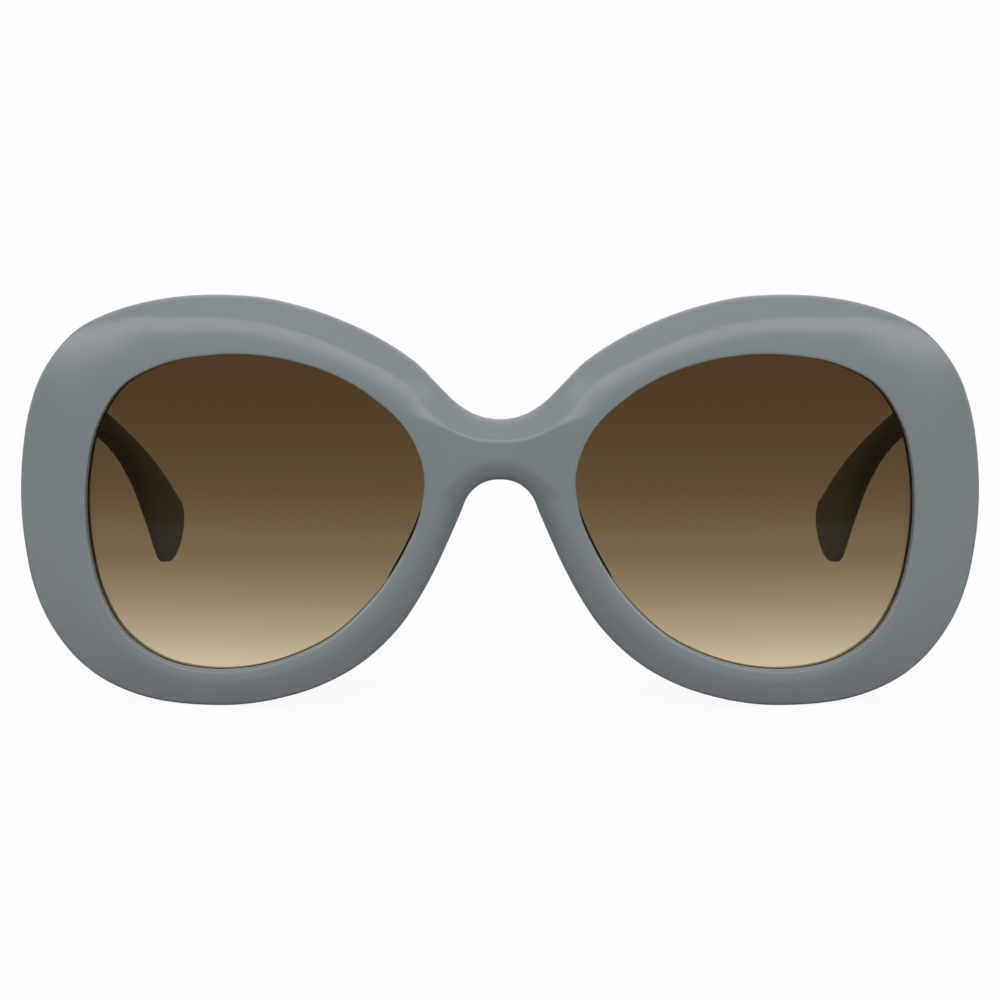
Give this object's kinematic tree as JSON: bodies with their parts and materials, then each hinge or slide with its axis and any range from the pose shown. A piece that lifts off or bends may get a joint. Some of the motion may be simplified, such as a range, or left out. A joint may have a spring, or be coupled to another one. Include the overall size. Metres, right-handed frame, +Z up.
{
  "type": "oval sunglasses",
  "caption": "Oval sunglasses with a thick bowed front, gradient lenses, low bridge, and temples that fold on barrel hinges.",
  "frame": {"origin": "on the surface that the open glasses stand on, at the middle of their width and depth", "axes": "+X to the wearer's left across the face, +Y back along the temples, +Z up; the front leans back about 5 degrees, as it does when rims and temple tips share one table"},
  "size_m": [0.148, 0.1494, 0.0627],
  "materials": {
    "matte_frame": "satin blue-grey acetate",
    "matte_temple": "satin blue-grey acetate",
    "matte_pad": "satin blue-grey acetate, rubbed smoother",
    "tinted_lens": "clear gloss with a brown tint that fades downward",
    "hinge_metal": "tumbled nickel silver",
    "screw_metal": "turned steel",
    "wire_metal": "drawn nickel silver"
  },
  "bodies": {
    "front": {"front_frame": "matte_frame", "left_lens": "tinted_lens", "right_lens": "tinted_lens", "left_nose_pad": "matte_pad", "right_nose_pad": "matte_pad", "left_front_hinge_leaf": "hinge_metal", "right_front_hinge_leaf": "hinge_metal", "left_hinge_screw": "screw_metal", "right_hinge_screw": "screw_metal"},
    "right_temple": {"right_temple": "matte_temple", "right_temple_hinge_leaf": "hinge_metal", "right_core_wire": "wire_metal"},
    "left_temple": {"left_temple": "matte_temple", "left_temple_hinge_leaf": "hinge_metal", "left_core_wire": "wire_metal"}
  },
  "joints": [
    {"name": "right_temple_fold", "type": "hinge", "parent": "front", "child": "right_temple", "pos_m": [-0.0644, -0.04709, 0.04494], "axis": [0, -0.0945, -0.9955], "range_deg": [0, 90]},
    {"name": "left_temple_fold", "type": "hinge", "parent": "front", "child": "left_temple", "pos_m": [0.0644, -0.04709, 0.04494], "axis": [0, 0.0945, 0.9955], "range_deg": [0, 84]}
  ]
}
